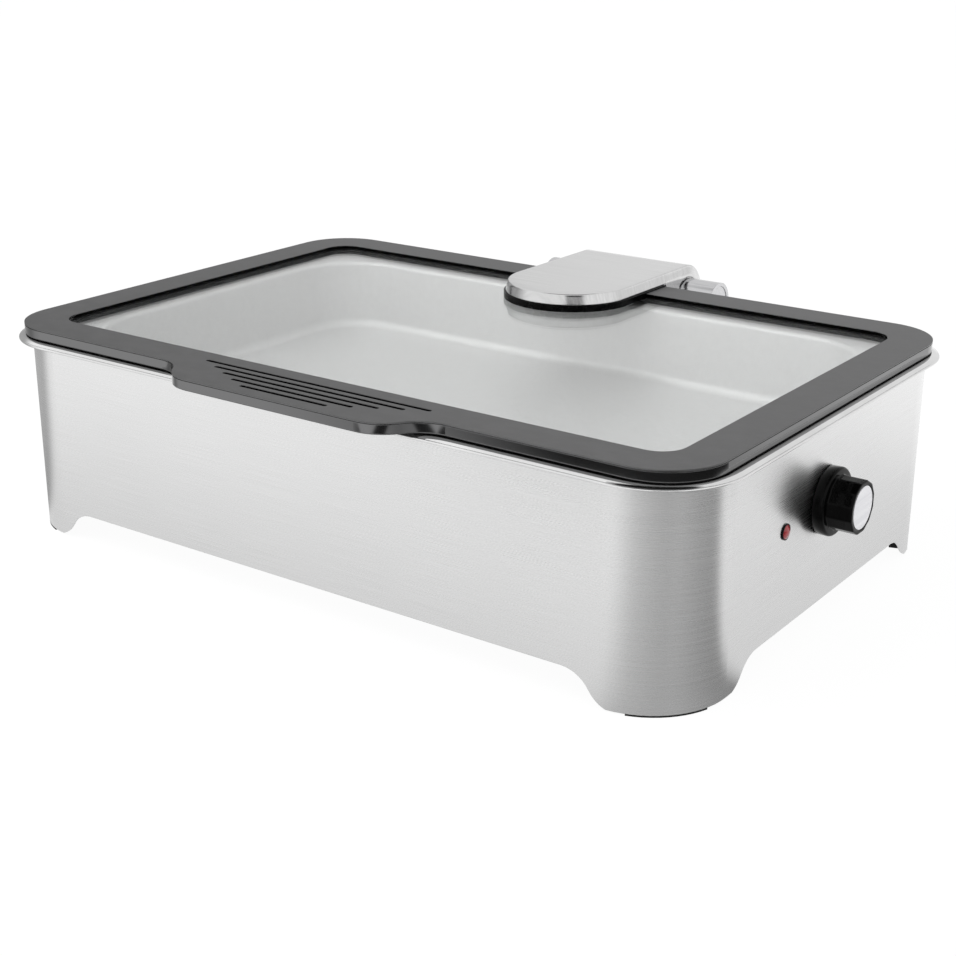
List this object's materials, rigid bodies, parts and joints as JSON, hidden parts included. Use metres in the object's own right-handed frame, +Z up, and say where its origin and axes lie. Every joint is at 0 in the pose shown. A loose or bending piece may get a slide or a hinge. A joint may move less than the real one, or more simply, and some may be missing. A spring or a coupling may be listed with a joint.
{
  "type": "electric chafing dish",
  "caption": "Electric chafing dish: brushed steel body on wave-cut feet, water basin, food pan, hinged glass lid with a grooved grip, side knob and red lamp.",
  "frame": {"origin": "on the table under the middle of the whole dish, in the plane of the feet", "axes": "+X to the side with the control knob, +Y to the rear with the hinge, +Z up"},
  "size_m": [0.614, 0.4802, 0.1675],
  "materials": {
    "brushed_steel": "brushed",
    "satin_steel": "satin",
    "galvanised_steel": "plain sheet",
    "black_rubber": "matte",
    "aluminium": "brushed",
    "heater_sheath": "oxidised",
    "plated_steel": "zinc plated",
    "ceramic": "plain",
    "copper_tube": "drawn",
    "wire_cover": "plain",
    "black_plastic": "gloss",
    "red_lens": "clear red",
    "chrome": "polished",
    "grey_plastic": "fine matte, dark grey",
    "clear_glass": "clear tempered",
    "nylon": "plain"
  },
  "bodies": {
    "base": {"outer_housing": "brushed_steel", "water_basin": "satin_steel", "food_pan": "satin_steel", "base_plate": "galvanised_steel", "reflector": "galvanised_steel", "element_clamps": "galvanised_steel", "hinge_backing": "galvanised_steel", "lamp_clip": "galvanised_steel", "rubber_feet": "black_rubber", "heat_spreader": "aluminium", "heating_element": "heater_sheath", "tie_studs": "plated_steel", "stud_spacers": "plated_steel", "stud_nuts": "plated_steel", "thermostat_nut": "plated_steel", "thermostat": "ceramic", "thermal_cutout": "ceramic", "terminal_block": "ceramic", "thermostat_bulb": "copper_tube", "wiring": "wire_cover", "cord_gland": "black_plastic", "gland_nut": "black_plastic", "lamp_holder": "black_plastic", "lamp_lens": "red_lens", "hinge_bracket": "chrome", "bracket_screws": "chrome", "hinge_pin": "chrome", "barrel_caps": "chrome"},
    "lid": {"lid_frame": "grey_plastic", "glass_gasket": "black_rubber", "lid_glass": "clear_glass", "retaining_ring": "grey_plastic", "ring_screws": "plated_steel", "lid_seal": "black_rubber", "hinge_cap": "brushed_steel", "hinge_pad": "black_plastic", "hinge_leaf": "galvanised_steel", "hinge_bushes": "nylon", "clamp_pad": "black_rubber", "clamp_plate": "satin_steel", "hinge_screws": "plated_steel"},
    "knob": {"thermostat_shaft": "plated_steel", "control_knob": "black_plastic", "knob_face": "aluminium"}
  },
  "joints": [
    {"name": "lid_hinge", "type": "hinge", "parent": "base", "child": "lid", "pos_m": [-0.009, 0.2126, 0.14], "axis": [-1, 0, 0], "range_deg": [0, 95]},
    {"name": "knob_turn", "type": "hinge", "parent": "base", "child": "knob", "pos_m": [0.2822, -0.0304, 0.091], "axis": [-1, 0, 0], "range_deg": [0, 270]}
  ]
}
